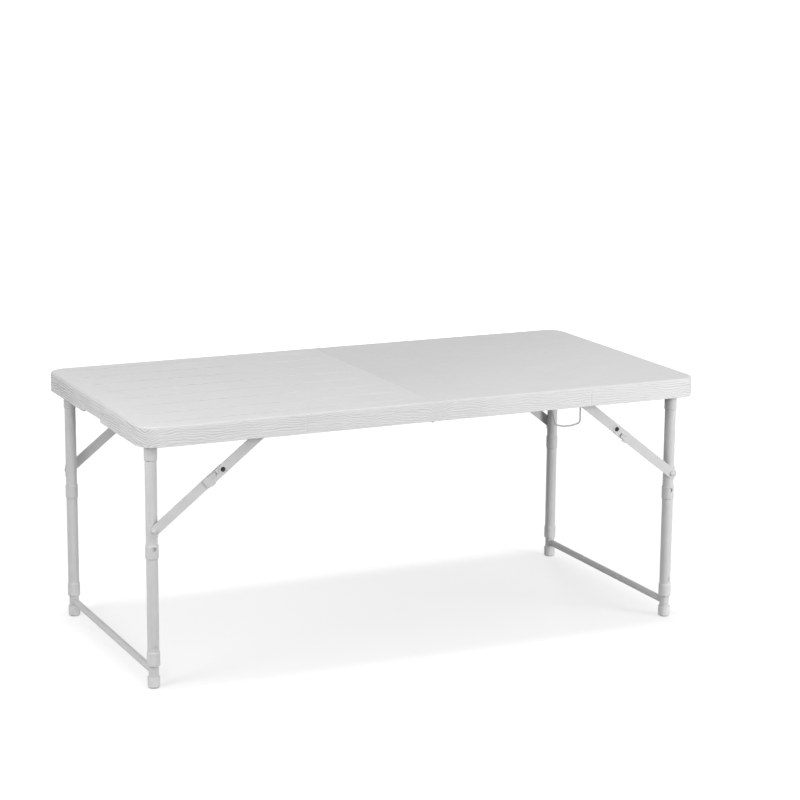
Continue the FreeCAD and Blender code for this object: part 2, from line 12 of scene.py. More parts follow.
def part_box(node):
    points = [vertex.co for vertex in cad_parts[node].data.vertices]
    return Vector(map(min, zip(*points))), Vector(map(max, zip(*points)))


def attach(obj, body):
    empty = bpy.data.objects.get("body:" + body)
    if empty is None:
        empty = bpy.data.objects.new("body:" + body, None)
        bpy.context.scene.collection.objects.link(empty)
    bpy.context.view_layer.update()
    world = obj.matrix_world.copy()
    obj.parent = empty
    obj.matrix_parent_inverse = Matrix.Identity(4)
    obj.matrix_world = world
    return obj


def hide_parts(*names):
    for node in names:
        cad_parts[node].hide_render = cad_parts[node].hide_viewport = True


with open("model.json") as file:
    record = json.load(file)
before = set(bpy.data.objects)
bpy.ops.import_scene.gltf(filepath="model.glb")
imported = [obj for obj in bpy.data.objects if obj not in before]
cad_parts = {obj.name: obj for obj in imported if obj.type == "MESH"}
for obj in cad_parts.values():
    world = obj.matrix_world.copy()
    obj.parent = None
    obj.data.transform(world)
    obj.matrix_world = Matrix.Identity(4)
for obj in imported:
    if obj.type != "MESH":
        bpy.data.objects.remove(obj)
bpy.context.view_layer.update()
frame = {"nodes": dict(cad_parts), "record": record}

# Moulded halves, in metres: their outer sizes come from the frame, and SEAM is half of the gap between them
left_low, left_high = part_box("left_tabletop")
HALF_LENGTH = -left_low.x
HALF_DEPTH = left_high.y
SKIRT_BOTTOM = left_low.z
TOP = left_high.z
SKIRT_HEIGHT = TOP - SKIRT_BOTTOM
SEAM = 0.00003
SEAM_CHAMFER = 0.0008
PLAN_CORNER = 0.040
CORNER_X = HALF_LENGTH - PLAN_CORNER
CORNER_Y = HALF_DEPTH - PLAN_CORNER
TOP_EDGE = 0.0055
WALL_TOP = SKIRT_HEIGHT - TOP_EDGE
FOOT_EDGE = 0.001
WALL = 0.006
PANEL = 0.011
PANEL_BOTTOM = TOP - PANEL
PAD = 0.009
PAD_BOTTOM = PANEL_BOTTOM - PAD

# The deeper pad under each half stays clear of the folded legs and their stretcher
cross_low, cross_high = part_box("right_cross_tube")
stretcher_low, stretcher_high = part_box("right_stretcher")
leg_low, leg_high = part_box("right_back_leg_tube")
LEG_X = (cross_low.x + cross_high.x) / 2
LEG_Y = (leg_low.y + leg_high.y) / 2
STRETCHER_DROP = (cross_low.z + cross_high.z - stretcher_low.z - stretcher_high.z) / 2
STRETCHER_RADIUS = (stretcher_high.x - stretcher_low.x) / 2
PAD_STRETCHER_MARGIN = 0.017
PAD_LEG_MARGIN = 0.029
PAD_NEAR = LEG_X - STRETCHER_DROP + STRETCHER_RADIUS + PAD_STRETCHER_MARGIN
PAD_FAR = LEG_X - PAD_LEG_MARGIN
PAD_REACH = LEG_Y - PAD_LEG_MARGIN
PAD_CORNER = 0.020
DIMPLE_COLUMNS = 4
DIMPLE_ROWS = 3
DIMPLE_RADIUS = 0.014
DIMPLE_TIP = 0.008
DIMPLE_DEPTH = 0.012
DIMPLE_SIDES = 28

# Hinge notches in the wall along the seam, a little wider than the rails
rail_low, rail_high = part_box("right_back_rail")
NOTCH_MARGIN = 0.001
NOTCH_INNER = rail_low.y - NOTCH_MARGIN
NOTCH_OUTER = rail_high.y + NOTCH_MARGIN
NOTCH_SLACK = 0.0001

# Hand grip in each end skirt
GRIP_HALF_WIDTH = 0.057
GRIP_HEIGHT = 0.022
GRIP_DEPTH = 0.004
GRIP_TRIM = 0.0035
GRIP_RUNOUT = 0.006
GRIP_BEND = (GRIP_HEIGHT ** 2 + GRIP_DEPTH ** 2) / (2 * GRIP_DEPTH)

# Planks: grooves along the left half, and upright joints in the long skirts, measured from the seam
PLANK_WIDTH = 0.0756
GROOVE_HALF_WIDTH = 0.0018
GROOVE_DEPTH = 0.0016
GROOVE_MARGIN = 0.028
GROOVE_FADE = 0.30
GROOVE_LEAST = 0.35
GROOVE_STEPS = 40
GROOVE_SECTION = ((-1.0, 0.0), (-0.97, 0.06), (-0.7, 0.8), (0.0, 1.0), (0.7, 0.8), (0.97, 0.06), (1.0, 0.0))
SKIRT_JOINTS = {("left", "front"): 0.274, ("left", "back"): 0.354,
                ("right", "front"): 0.354, ("right", "back"): 0.274}
JOINT_HALF_WIDTH = 0.0014
JOINT_DEPTH = 0.0005

# Lines of the embossed grain of the skirts: their sway, ripple, flutter and kink are counted in pitches
GRAIN_PITCH = 0.0051
GRAIN_DEPTH_ON_SIDES = 0.0005
GRAIN_DEPTH_ON_ENDS = 0.0011
GRAIN_SWAY = 1.8
GRAIN_SWAY_LENGTH = 0.100
GRAIN_RIPPLE = 0.8
GRAIN_RIPPLE_LENGTH = 0.024
GRAIN_RIPPLE_HEIGHT = 0.016
GRAIN_FLUTTER = 0.45
GRAIN_FLUTTER_LENGTH = 0.009
GRAIN_FLUTTER_HEIGHT = 0.006
GRAIN_KINK = 2.0
GRAIN_KINK_LENGTH = 0.013
GRAIN_SHARPNESS = 1.5
WAVES_ON_ENDS = 0.45

# Strength of the grain, which comes and goes in patches and swells towards the seam and the corners
GRAIN_STRENGTH = {"left": 1.0, "right": 0.8}
GRAIN_MIDDLE = 0.65
GRAIN_LEAST = 0.25
GRAIN_PATCH = 0.7
GRAIN_PATCH_LENGTH = 0.060
GRAIN_PATCH_HEIGHT = 0.007
GRAIN_SWELL = 0.4
GRAIN_SWELL_LENGTH = 0.100
GRAIN_SEEDS = {"left": 3.7, "right": 11.3}
RIPPLE_SEED = 7
FLUTTER_SEED = 13
PATCH_SEED = 19

# Painted shade: the share of its light that a pressed-in place or the rounded top edge loses, kept per point
# as SHADE and painted into the colour of the moulded halves
SHADE = "shade"
SHADE_ON_SIDES = 0.10
SHADE_ON_ENDS = 0.36
SHADE_AT_CORNERS = 0.25
GROOVE_SHADE = 0.23
JOINT_SHADE = 0.08
EDGE_SHADE = 0.16

# Mesh steps of the skirts, with closer ones round a plank joint and at the ends of a grip
ALONG_STEP = 0.003
SEAM_STEP = 0.015
WALL_STEP = 0.0005
EDGE_ROWS = 6
FOOT_ROWS = 2
PAD_ARC_SHARE = 0.2
MARK_OFFSETS = (-0.0024, -0.0014, -0.0007, 0.0, 0.0007, 0.0014, 0.0024)
MARK_CLEARANCE = 0.004
FILL_SCALE = 1000.0
SHARP_ANGLE = math.radians(50)
SIDES = {"left": -1, "right": 1}

# Finishes: most values of a noise lie in NOISE_RANGE, and the scales are counted per metre
NOISE_RANGE = (0.3, 0.7)
STREAK_SCALE = (5.0, 240.0, 240.0)
PEBBLE_SCALE = 1400.0
SKIN_SCALE = 1100.0
SKIN_HEIGHT = 0.0003
STREAK_HEIGHT = 0.0006
ROUGHNESS_SPREAD = 0.05

# Studio
WHITE = (1, 1, 1, 1)
FLOOR_REACH = 45.0
FLOOR_TONE = 0.36
FLOOR_ROUGHNESS = 0.9
FLOOR_GLOW_NEAR = 0.62
FLOOR_GLOW_FAR = 0.76
FLOOR_GLOW_START = 0.9
FLOOR_GLOW_END = 4.0
BACKDROP_HEIGHT = 14.0
BACKDROP_GLOW = 1.1
SKY_GLOW = 0.50
HORIZON_BLEND = 0.05
SUN_STRENGTH = 1.2
SUN_SPREAD = math.radians(9)

# Camera of the photograph: angles in degrees, its place in metres, and its lens and sensor in millimetres
CAMERA_AZIMUTH = -25.275
CAMERA_ELEVATION = 12.178
CAMERA_ROLL = 0.451
CAMERA_PLACE = (-1.9904, -4.35685, 1.50389)
LENS = 105.4
SENSOR_WIDTH = 36.0
VIEW_END = 200.0

Column = namedtuple("Column", "segment along outer normal inner pad")
Row = namedtuple("Row", "height inset seam_height seam_inset grain")


def mix(a, b, share):
    return a + (b - a) * share


def smooth_step(value):
    value = min(1.0, max(0.0, value))
    return value * value * (3 - 2 * value)


def turned(degrees):
    return Vector((math.cos(math.radians(degrees)), math.sin(math.radians(degrees))))


def clear_of(marks, places):
    """The places that aren't close to a mark."""
    return [p for p in places if all(abs(p - mark) > MARK_CLEARANCE for mark in marks)]


def stations(length, step, marks):
    """Even places along a length, with closer ones round each mark."""
    count = max(1, round(length / step))
    even = [length * i / count for i in range(count + 1)]
    close = [mark + offset for mark in marks for offset in MARK_OFFSETS]
    return sorted(p for p in clear_of(marks, even) + close if 0 <= p <= length)


def seam_stations(marks):
    """Places along the seam wall, between the rounded edges, with one at each side of each notch."""
    length = 2 * HALF_DEPTH
    even = clear_of(marks, stations(length, SEAM_STEP, []))
    return sorted([p for p in even if 2 * TOP_EDGE < p < length - 2 * TOP_EDGE] + marks)


def front_run(share):
    x = mix(SEAM, CORNER_X, share)
    inner = Vector((mix(SEAM + WALL, CORNER_X, share), WALL - HALF_DEPTH))
    pad = Vector((mix(PAD_NEAR + PAD_CORNER, PAD_FAR - PAD_CORNER, share), -PAD_REACH))
    return Vector((x, -HALF_DEPTH)), Vector((0, -1)), inner, pad


def back_run(share):
    return tuple(Vector((v.x, -v.y)) for v in front_run(1 - share))


def corner_run(start, share):
    """One rounded corner of the plan, from an angle through a quarter turn."""
    way = turned(start + 90 * share)
    flip = -1 if start < 0 else 1
    centre = Vector((CORNER_X, flip * CORNER_Y))
    pad_centre = Vector((PAD_FAR - PAD_CORNER, flip * (PAD_REACH - PAD_CORNER)))
    return centre + way * PLAN_CORNER, way, centre + way * (PLAN_CORNER - WALL), pad_centre + way * PAD_CORNER


def end_run(share):
    y = mix(-CORNER_Y, CORNER_Y, share)
    pad = Vector((PAD_FAR, mix(-1, 1, share) * (PAD_REACH - PAD_CORNER)))
    return Vector((HALF_LENGTH, y)), Vector((1, 0)), Vector((HALF_LENGTH - WALL, y)), pad


def seam_run(share):
    """The wall along the seam, from the back to the front."""
    y = mix(HALF_DEPTH, -HALF_DEPTH, share)
    corner = Vector((PAD_NEAR + PAD_CORNER, PAD_REACH - PAD_CORNER))
    if share < PAD_ARC_SHARE:
        pad = corner + turned(90 + 90 * share / PAD_ARC_SHARE) * PAD_CORNER
    elif share > 1 - PAD_ARC_SHARE:
        pad = Vector((corner.x, -corner.y)) + turned(270 - 90 * (1 - share) / PAD_ARC_SHARE) * PAD_CORNER
    else:
        pad = Vector((PAD_NEAR, mix(corner.y, -corner.y, (share - PAD_ARC_SHARE) / (1 - 2 * PAD_ARC_SHARE))))
    return Vector((SEAM, y)), Vector((-1, 0)), Vector((SEAM + WALL, y)), pad


def outline(name):
    """The columns of mesh round one half, from the front of the seam by way of the end and back to it."""
    run_length = CORNER_X - SEAM
    arc_length = math.radians(90) * PLAN_CORNER
    front_mark = SKIRT_JOINTS[name, "front"] - SEAM
    back_mark = run_length - (SKIRT_JOINTS[name, "back"] - SEAM)
    grip_marks = (CORNER_Y - GRIP_HALF_WIDTH, CORNER_Y + GRIP_HALF_WIDTH)
    seam_marks = [HALF_DEPTH + sign * y for y in (NOTCH_INNER, NOTCH_OUTER) for sign in (-1, 1)]
    segments = [
        ("front", run_length, front_run, stations(run_length, ALONG_STEP, [front_mark])[:-1]),
        ("corner", arc_length, lambda s: corner_run(-90, s), stations(arc_length, ALONG_STEP, [])[:-1]),
        ("end", 2 * CORNER_Y, end_run, stations(2 * CORNER_Y, ALONG_STEP, grip_marks)[:-1]),
        ("corner", arc_length, lambda s: corner_run(0, s), stations(arc_length, ALONG_STEP, [])[:-1]),
        ("back", run_length, back_run, stations(run_length, ALONG_STEP, [back_mark])),
        ("seam", 2 * HALF_DEPTH, seam_run, seam_stations(seam_marks)),
    ]
    columns = []
    travelled = 0.0
    for segment, length, run, places in segments:
        for place in places:
            columns.append(Column(segment, travelled + place, *run(place / length)))
        travelled += length
    return columns


def skirt_rows():
    """The rows of mesh up a skirt: a small round at the foot, the wall, and the rounded top edge."""
    rows = []
    for step in range(FOOT_ROWS):
        angle = math.radians(90 * step / FOOT_ROWS)
        height = FOOT_EDGE * (1 - math.cos(angle))
        inset = FOOT_EDGE * (1 - math.sin(angle))
        rows.append(Row(height, inset, seam_height=height, seam_inset=0.0, grain=0.0))
    count = round((WALL_TOP - FOOT_EDGE) / WALL_STEP)
    for step in range(count + 1):
        height = mix(FOOT_EDGE, WALL_TOP, step / count)
        rows.append(Row(height, inset=0.0, seam_height=height, seam_inset=0.0, grain=1.0))
    for step in range(1, EDGE_ROWS):
        angle = math.radians(90 * step / EDGE_ROWS)
        height = WALL_TOP + TOP_EDGE * math.sin(angle)
        inset = TOP_EDGE * (1 - math.cos(angle))
        seam_height = mix(WALL_TOP, SKIRT_HEIGHT - SEAM_CHAMFER, step / (EDGE_ROWS - 1))
        rows.append(Row(height, inset, seam_height, seam_inset=0.0, grain=1 - smooth_step(step / EDGE_ROWS)))
    rows.append(Row(SKIRT_HEIGHT, TOP_EDGE, SKIRT_HEIGHT, seam_inset=SEAM_CHAMFER, grain=0.0))
    return rows


def kink_places(columns):
    """Where the grain bends most along the skirts: at the seam and in the middle of each rounded corner."""
    run_end = next(c.along for c in columns if c.segment == "corner")
    arc_middle = math.radians(45) * PLAN_CORNER
    skirt_length = 2 * (run_end + 2 * arc_middle + CORNER_Y)
    return 0.0, run_end + arc_middle, skirt_length - run_end - arc_middle, skirt_length


def uneven(along, height, seed):
    """Smooth noise over a skirt, at a place that is counted in swells of that noise."""
    return noise.noise(Vector((along, height, seed)))


def grain(name, column, height, kinks):
    """How deep the embossed grain is at a place on the skirt, where 1 is its full depth."""
    along = column.along
    seed = GRAIN_SEEDS[name]
    sway = uneven(along / GRAIN_SWAY_LENGTH, 0, seed)
    ripple = uneven(along / GRAIN_RIPPLE_LENGTH, height / GRAIN_RIPPLE_HEIGHT, seed + RIPPLE_SEED)
    flutter = uneven(along / GRAIN_FLUTTER_LENGTH, height / GRAIN_FLUTTER_HEIGHT, seed + FLUTTER_SEED)
    calm = smooth_step(height / SKIRT_HEIGHT)
    kink = sum(math.exp(-abs(along - place) / GRAIN_KINK_LENGTH) for place in kinks)
    waves = GRAIN_SWAY * sway + GRAIN_RIPPLE * ripple + GRAIN_FLUTTER * flutter * (1 - calm)
    phase = height / GRAIN_PITCH + waves * mix(WAVES_ON_ENDS, 1.0, abs(column.normal.y)) + GRAIN_KINK * kink
    line = (0.5 + 0.5 * math.cos(2 * math.pi * phase)) ** GRAIN_SHARPNESS
    patch = uneven(along / GRAIN_PATCH_LENGTH, height / GRAIN_PATCH_HEIGHT, seed + PATCH_SEED)
    swell = max(math.exp(-abs(along - place) / GRAIN_SWELL_LENGTH) for place in kinks)
    strength = GRAIN_MIDDLE + GRAIN_PATCH * patch + GRAIN_SWELL * swell
    return GRAIN_STRENGTH[name] * line * min(1.0, max(GRAIN_LEAST, strength))


def grain_depth(normal):
    """The full depth of the grain, by the way that the skirt faces."""
    return mix(GRAIN_DEPTH_ON_ENDS, GRAIN_DEPTH_ON_SIDES, abs(normal.y))


def grain_shade(normal):
    """The painted shade at the bottom of the grain: the share of its light that it loses, by the way that the
    skirt faces.
    """
    return mix(SHADE_ON_ENDS, SHADE_ON_SIDES, abs(normal.y)) + SHADE_AT_CORNERS * 2 * abs(normal.x * normal.y)


def grip_share(column):
    """How far a column is inside the hand grip, from 0 to 1."""
    if column.segment != "end":
        return 0.0
    return smooth_step((GRIP_HALF_WIDTH - abs(column.outer.y)) / GRIP_RUNOUT)


def joint_share(name, column):
    """How far a column is inside the upright plank joint of its skirt, from 0 to 1."""
    if column.segment not in ("front", "back"):
        return 0.0
    off = (abs(column.outer.x) - SKIRT_JOINTS[name, column.segment]) / JOINT_HALF_WIDTH
    return max(0.0, 1 - off * off)


def skirt_place(name, column, row, kinks):
    """A point of a skirt in plan, its height and its shade, with grain, plank joint and grip pressed in."""
    if column.segment == "seam":
        return column.outer - column.normal * row.seam_inset, SKIRT_BOTTOM + row.seam_height, 0.0
    grip = grip_share(column)
    height = row.height + GRIP_TRIM * grip * max(0.0, 1 - row.height / WALL_TOP)
    scoop = GRIP_DEPTH - GRIP_BEND + math.sqrt(GRIP_BEND ** 2 - min(height, GRIP_HEIGHT) ** 2)
    pressed = 0.0
    joint = 0.0
    if row.grain > 0:
        smooth = grip if height < GRIP_HEIGHT else 0.0
        pressed = (1 - smooth) * grain(name, column, height, kinks) * row.grain
        joint = joint_share(name, column) * row.grain
    recess = row.inset + grip * scoop + max(grain_depth(column.normal) * pressed, JOINT_DEPTH * joint)
    place = column.outer - column.normal * recess
    at_seam_corner = column.outer.x <= SEAM
    if at_seam_corner and row.seam_inset > 0:
        place.x += row.seam_inset
    # Painted shade on the grain, the plank joint and the rounded top edge, which is dulled so that its light
    # band is weaker
    on_round = TOP_EDGE > row.inset > 0 and row.height > WALL_TOP
    shade = max(grain_shade(column.normal) * pressed, JOINT_SHADE * joint, EDGE_SHADE if on_round else 0.0)
    return place, SKIRT_BOTTOM + height, shade


def in_notch(column):
    inside = NOTCH_INNER - NOTCH_SLACK < abs(column.outer.y) < NOTCH_OUTER + NOTCH_SLACK
    return column.segment == "seam" and inside


def shaded_vertex(mesh, place, shade):
    vertex = mesh.verts.new(place)
    vertex[mesh.verts.layers.float[SHADE]] = shade
    return vertex


def bridge(mesh, ring_a, ring_b, left_out):
    """Quads between two closed rings of as many points, but none in the spans that are left out."""
    for i in range(len(ring_a)):
        j = (i + 1) % len(ring_a)
        if i not in left_out:
            mesh.faces.new((ring_a[i], ring_a[j], ring_b[j], ring_b[i]))


def ring_edges(mesh, ring):
    return [mesh.edges.get((a, b)) or mesh.edges.new((a, b)) for a, b in zip(ring, ring[1:] + ring[:1])]


def fill(mesh, rings, facing):
    """Flat faces inside the first ring and outside the others, filled at a large scale to be exact."""
    edges = [edge for ring in rings for edge in ring_edges(mesh, ring)]
    bmesh.ops.scale(mesh, vec=[FILL_SCALE] * 3, verts=mesh.verts)
    bmesh.ops.triangle_fill(mesh, edges=edges, use_beauty=True, normal=(0, 0, facing))
    bmesh.ops.scale(mesh, vec=[1 / FILL_SCALE] * 3, verts=mesh.verts)


def notch_faces(mesh, columns, spans, outer, inner_low, inner_high, notch_row):
    """The sides and ceiling of the hinge notches."""
    count = len(columns)
    for i in spans:
        j = (i + 1) % count
        mesh.faces.new((outer[i][notch_row], outer[j][notch_row], inner_high[j], inner_high[i]))
    for i in range(count):
        if (i in spans) != ((i - 1) % count in spans):
            mesh.faces.new(outer[i][:notch_row + 1] + [inner_high[i], inner_low[i]])


def dimples(mesh, side):
    """The pinched dimples of the pad. Gives back the rims that the pad's face has to leave open."""
    rims = []
    for column in range(DIMPLE_COLUMNS):
        x = mix(PAD_NEAR, PAD_FAR, (column + 0.5) / DIMPLE_COLUMNS)
        for row in range(DIMPLE_ROWS):
            y = mix(-PAD_REACH, PAD_REACH, (row + 0.5) / DIMPLE_ROWS)
            rings = []
            for radius, rise in ((DIMPLE_RADIUS, 0.0), (DIMPLE_TIP, DIMPLE_DEPTH)):
                ways = [turned(360 * i / DIMPLE_SIDES) * radius for i in range(DIMPLE_SIDES)]
                rings.append([mesh.verts.new((side * (x + w.x), y + w.y, PAD_BOTTOM + rise)) for w in ways])
            bridge(mesh, rings[0], rings[1], ())
            mesh.faces.new(rings[1])
            rims.append(rings[0])
    return rims


def groove_line(mesh, side, x, middle, depth):
    """The points across a plank groove at one place along it."""
    line = []
    for across, down in GROOVE_SECTION:
        place = (side * x, middle + GROOVE_HALF_WIDTH * across, TOP - depth * down)
        # Painted shade in the groove, weaker where the groove is shallower
        shade = GROOVE_SHADE * depth / GROOVE_DEPTH if down > 0 else 0.0
        line.append(shaded_vertex(mesh, place, shade))
    return line


def plank_grooves(mesh, side):
    """Shallow grooves between planks, fading towards the seam. Gives back their outlines in the top."""
    outlines = []
    start = GROOVE_MARGIN
    end = HALF_LENGTH - GROOVE_MARGIN
    flat_reach = HALF_DEPTH - TOP_EDGE - 2 * GROOVE_HALF_WIDTH
    count = int((flat_reach - PLANK_WIDTH / 2) / PLANK_WIDTH) + 1
    middles = [sign * PLANK_WIDTH * (i + 0.5) for i in range(count) for sign in (-1, 1)]
    for middle in middles:
        lines = []
        for step in range(GROOVE_STEPS + 1):
            x = mix(start, end, step / GROOVE_STEPS)
            depth = GROOVE_DEPTH * mix(GROOVE_LEAST, 1.0, smooth_step((x - start) / GROOVE_FADE))
            if step in (0, GROOVE_STEPS):
                depth = 0.0
            lines.append(groove_line(mesh, side, x, middle, depth))
        for line, following in zip(lines, lines[1:]):
            for i in range(len(line) - 1):
                mesh.faces.new((line[i], line[i + 1], following[i + 1], following[i]))
        front_edge = [line[0] for line in lines]
        back_edge = [line[-1] for line in reversed(lines)]
        outlines.append(front_edge + lines[-1][1:-1] + back_edge + lines[0][-2:0:-1])
    return outlines


def smooth_faces(mesh, sharp_rings):
    """Smooth shading, with sharp edges where faces meet steeply and along the given rings."""
    for face in mesh.faces:
        face.smooth = True
    for edge in mesh.edges:
        edge.smooth = edge.is_manifold and edge.calc_face_angle() < SHARP_ANGLE
    for ring in sharp_rings:
        for edge in ring_edges(mesh, ring):
            edge.smooth = False


def linked(name, data):
    """A new object in the scene, with its data."""
    made = bpy.data.objects.new(name, data)
    bpy.context.scene.collection.objects.link(made)
    return made


def half_shell(name):
    """One moulded half as a closed shell: skirts, top, tray and padded underside."""
    side = SIDES[name]
    columns = outline(name)
    rows = skirt_rows()
    kinks = kink_places(columns)
    mesh = bmesh.new()
    mesh.verts.layers.float.new(SHADE)

    def vertex(place, z, shade=0.0):
        return shaded_vertex(mesh, (side * place.x, place.y, z), shade)

    outer = [[vertex(*skirt_place(name, c, row, kinks)) for row in rows] for c in columns]
    inner_low = [vertex(c.inner, SKIRT_BOTTOM + GRIP_TRIM * grip_share(c)) for c in columns]
    inner_high = [vertex(c.inner, PANEL_BOTTOM) for c in columns]
    pad_high = [vertex(c.pad, PANEL_BOTTOM) for c in columns]
    pad_low = [vertex(c.pad, PAD_BOTTOM) for c in columns]

    count = len(columns)
    notches = {i for i in range(count) if in_notch(columns[i]) and in_notch(columns[(i + 1) % count])}
    notch_height = PANEL_BOTTOM - SKIRT_BOTTOM
    notch_row = min(range(len(rows)), key=lambda i: abs(rows[i].height - notch_height))
    for level in range(len(rows) - 1):
        low = [column[level] for column in outer]
        high = [column[level + 1] for column in outer]
        bridge(mesh, low, high, notches if level < notch_row else ())
    foot = [column[0] for column in outer]
    bridge(mesh, foot, inner_low, notches)
    bridge(mesh, inner_low, inner_high, notches)
    bridge(mesh, inner_high, pad_high, ())
    bridge(mesh, pad_high, pad_low, ())
    notch_faces(mesh, columns, notches, outer, inner_low, inner_high, notch_row)

    pad_rims = [pad_low] + dimples(mesh, side)
    fill(mesh, pad_rims, -1)
    top_ring = [column[-1] for column in outer]
    grooves = plank_grooves(mesh, side) if name == "left" else []
    fill(mesh, [top_ring] + grooves, 1)
    bmesh.ops.recalc_face_normals(mesh, faces=mesh.faces)
    smooth_faces(mesh, [top_ring] + grooves)

    data = bpy.data.meshes.new(f"{name}_moulded_top")
    mesh.to_mesh(data)
    mesh.free()
    piece = linked(f"{name}_moulded_top", data)
    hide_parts(f"{name}_tabletop")
    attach(piece, f"{name}_half")
    return piece


def add_node(tree, kind, inputs, **settings):
    """A shader node with its settings. An input is either a value or another node's socket."""
    node = tree.nodes.new(kind)
    for key, value in settings.items():
        setattr(node, key, value)
    for key, value in inputs.items():
        if isinstance(value, bpy.types.NodeSocket):
            tree.links.new(value, node.inputs[key])
        else:
            node.inputs[key].default_value = value
    return node


def new_material(name):
    material = bpy.data.materials.new(name)
    material.use_nodes = True
    return material, material.node_tree, material.node_tree.nodes["Principled BSDF"]


def object_place(tree):
    return add_node(tree, "ShaderNodeTexCoord", {}).outputs["Object"]


def spread(tree, value, start, end, low, high, **settings):
    """A value that goes from low to high while another goes from start to end."""
    inputs = {"Value": value, "From Min": start, "From Max": end, "To Min": low, "To Max": high}
    return add_node(tree, "ShaderNodeMapRange", inputs, **settings).outputs["Result"]


def noise_field(tree, place, scale, detail, low=0.0, high=1.0):
    """A noise of the given scale, spread between two values."""
    field = add_node(tree, "ShaderNodeTexNoise", {"Vector": place, "Scale": scale, "Detail": detail})
    return spread(tree, field.outputs["Fac"], *NOISE_RANGE, low, high)


def times(tree, a, b):
    return add_node(tree, "ShaderNodeMath", {0: a, 1: b}, operation="MULTIPLY").outputs["Value"]


def bumped(tree, height, strength, distance, normal=None):
    inputs = {"Height": height, "Strength": strength, "Distance": distance}
    if normal is not None:
        inputs["Normal"] = normal
    return add_node(tree, "ShaderNodeBump", inputs).outputs["Normal"]


def grey(tree, tone, red=1.0, blue=1.0):
    """A near-white colour of one tone, a little warmer or cooler by its shares of red and blue."""
    channels = {"Red": times(tree, tone, red), "Green": tone, "Blue": times(tree, tone, blue)}
    return add_node(tree, "ShaderNodeCombineColor", channels).outputs["Color"]


def moulded_plastic(name, dark, light, way, start, end):
    """Satin moulded plastic with a fine grain along the planks. Its tone drifts from dark to light along one
    way as painted light and shade, and it is darkened by the painted shade kept per point as SHADE.
    """
    material, tree, shader = new_material(name)
    place = object_place(tree)
    # Painted light and shade: the tone goes from dark to light along the given way
    painted_shade_drift = add_node(tree, "ShaderNodeVectorMath", {0: place, 1: way}, operation="DOT_PRODUCT")
    tone = spread(tree, painted_shade_drift.outputs["Value"], start, end, dark, light, interpolation_type="SMOOTHSTEP")
    mottle = noise_field(tree, place, scale=14.0, detail=5.0, low=0.985, high=1.012)
    # Painted shade: the colour is darkened by the share of light kept per point as SHADE
    lost = add_node(tree, "ShaderNodeAttribute", {}, attribute_name=SHADE).outputs["Fac"]
    kept = add_node(tree, "ShaderNodeMath", {0: 1.0, 1: lost}, operation="SUBTRACT").outputs["Value"]
    shaded = times(tree, times(tree, tone, mottle), kept)
    roughness = noise_field(tree, place, scale=60.0, detail=3.0, low=0.44, high=0.56)
    stretch = add_node(tree, "ShaderNodeMapping", {"Vector": place, "Scale": STREAK_SCALE})
    streaks = noise_field(tree, stretch.outputs["Vector"], scale=1.0, detail=3.0)
    pebble = noise_field(tree, place, PEBBLE_SCALE, detail=2.0)
    streaked = bumped(tree, streaks, strength=0.12, distance=STREAK_HEIGHT)
    pebbled = bumped(tree, pebble, strength=0.08, distance=SKIN_HEIGHT, normal=streaked)
    tree.links.new(grey(tree, shaded, red=0.998), shader.inputs["Base Color"])
    tree.links.new(roughness, shader.inputs["Roughness"])
    tree.links.new(pebbled, shader.inputs["Normal"])
    return material


def coated(name, tone, roughness, peel):
    """Paint or plain plastic: an even tone with a faint mottle and the fine texture of its skin."""
    material, tree, shader = new_material(name)
    place = object_place(tree)
    shade = times(tree, noise_field(tree, place, scale=35.0, detail=4.0, low=0.97, high=1.02), tone)
    dullness = noise_field(tree, place, scale=90.0, detail=3.0,
                           low=roughness - ROUGHNESS_SPREAD, high=roughness + ROUGHNESS_SPREAD)
    skin = noise_field(tree, place, SKIN_SCALE, detail=2.0)
    tree.links.new(grey(tree, shade), shader.inputs["Base Color"])
    tree.links.new(dullness, shader.inputs["Roughness"])
    tree.links.new(bumped(tree, skin, peel, SKIN_HEIGHT), shader.inputs["Normal"])
    return material


def plated(name, tone):
    """Bright zinc plate with a faint brushed look."""
    material, tree, shader = new_material(name)
    place = object_place(tree)
    shade = times(tree, noise_field(tree, place, scale=50.0, detail=4.0, low=0.9, high=1.05), tone)
    dullness = noise_field(tree, place, scale=400.0, detail=3.0, low=0.25, high=0.45)
    shader.inputs["Metallic"].default_value = 1.0
    tree.links.new(grey(tree, shade, red=0.99, blue=1.02), shader.inputs["Base Color"])
    tree.links.new(dullness, shader.inputs["Roughness"])
    return material


def dress_nodes():
    """Give each solid of the frame the finish of its slot."""
    finishes = {
        "powder_coat": coated("powder_coat_finish", tone=0.54, roughness=0.42, peel=0.10),
        "grey_nylon": coated("nylon_finish", tone=0.58, roughness=0.50, peel=0.06),
        "foot_plastic": coated("foot_finish", tone=0.64, roughness=0.55, peel=0.12),
        "black_rivet": coated("black_rivet_finish", tone=0.012, roughness=0.28, peel=0.05),
        "zinc_plate": plated("zinc_finish", tone=0.62),
        "wire": coated("wire_finish", tone=0.42, roughness=0.36, peel=0.05),
        "moulded_top": coated("hidden_top_finish", tone=0.62, roughness=0.50, peel=0.05),
    }
    for row in frame["record"]["subparts"]:
        node = frame["nodes"][row["node"]]
        node.data.materials.clear()
        node.data.materials.append(finishes[row["material_slot"]])


def floor_corners(height):
    return [(x * FLOOR_REACH, y * FLOOR_REACH, height) for x, y in ((-1, -1), (1, -1), (1, 1), (-1, 1))]


def glowing(name, tone):
    """A dull grey finish with a white glow, whose strength is still to be set."""
    material, tree, shader = new_material(name)
    shader.inputs["Base Color"].default_value = (tone, tone, tone, 1)
    shader.inputs["Specular IOR Level"].default_value = 0.0
    shader.inputs["Emission Color"].default_value = WHITE
    return material, tree, shader


def stage_piece(name, points, faces, material):
    """A piece of the studio round the table. It throws no light back on the table."""
    data = bpy.data.meshes.new(name)
    data.from_pydata(points, [], faces)
    data.materials.append(material)
    piece = linked(name, data)
    piece.visible_diffuse = False
    return piece


